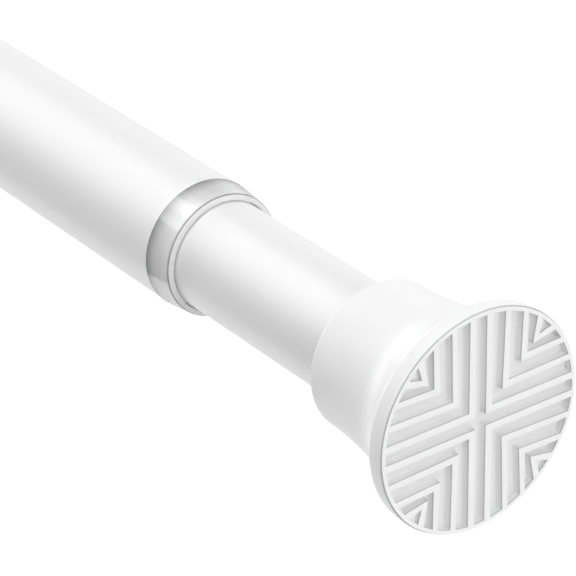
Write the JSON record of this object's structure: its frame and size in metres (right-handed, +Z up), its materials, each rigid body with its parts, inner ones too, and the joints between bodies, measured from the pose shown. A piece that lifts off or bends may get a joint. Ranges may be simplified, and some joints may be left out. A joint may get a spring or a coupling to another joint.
{
  "type": "spring tension rod",
  "caption": "Telescoping tension rod: two white tubes with a clear guide collar, padded flared end caps, a twist lock and a spring that presses the pads against two walls.",
  "frame": {"origin": "middle of the fixed end's pad face, where it presses on the wall", "axes": "+X along the rod from the fixed end to the free end, +Z up, the tread's cross groove upright"},
  "size_m": [0.43, 0.0412, 0.0412],
  "materials": {
    "white_paint": "smooth semi-gloss white paint",
    "clear_plastic": "clear moulded plastic",
    "white_plastic": "smooth glossy moulding",
    "pad_rubber": "matt moulded tread",
    "grey_nylon": "plain moulding",
    "white_nylon": "plain moulding",
    "black_rubber": "smooth ring",
    "zinc_steel": "bright zinc plate",
    "spring_steel": "drawn wire"
  },
  "bodies": {
    "outer_body": {"outer_tube": "white_paint", "clear_collar": "clear_plastic", "fixed_end_cap": "white_plastic", "fixed_end_pad": "pad_rubber"},
    "lock": {"expander_sleeve": "grey_nylon", "drag_ring": "black_rubber"},
    "cone": {"cone_nut": "white_nylon"},
    "plunger": {"plunger_rod": "zinc_steel", "spindle_clip": "spring_steel", "thrust_washer": "zinc_steel", "spring_seat": "grey_nylon", "compression_spring": "spring_steel", "stop_washer": "zinc_steel", "stop_nut": "zinc_steel"},
    "inner_body": {"inner_tube": "white_paint", "guide_plug": "white_nylon", "plug_rivets": "zinc_steel", "plug_washer": "zinc_steel", "free_end_cap": "white_plastic", "free_end_pad": "pad_rubber"}
  },
  "joints": [
    {"name": "length_set", "type": "slide", "parent": "outer_body", "child": "lock", "axis": [1, 0, 0], "range_m": [-0.018, 0.19]},
    {"name": "twist_lock", "type": "hinge", "parent": "lock", "child": "plunger", "pos_m": [0.07, 0, 0], "axis": [1, 0, 0], "range_deg": [0, 270]},
    {"name": "cone_draw", "type": "slide", "parent": "lock", "child": "cone", "axis": [1, 0, 0], "range_m": [-0.003, 0]},
    {"name": "spring_stroke", "type": "slide", "parent": "plunger", "child": "inner_body", "axis": [1, 0, 0], "range_m": [-0.022, 0], "stiffness_N_per_m": 2400, "springref_m": 0.008, "deforming": ["compression_spring"]}
  ],
  "couplings": [
    {"joint": "cone_draw", "follows": "twist_lock", "m_per_rad": -0.00063662}
  ]
}
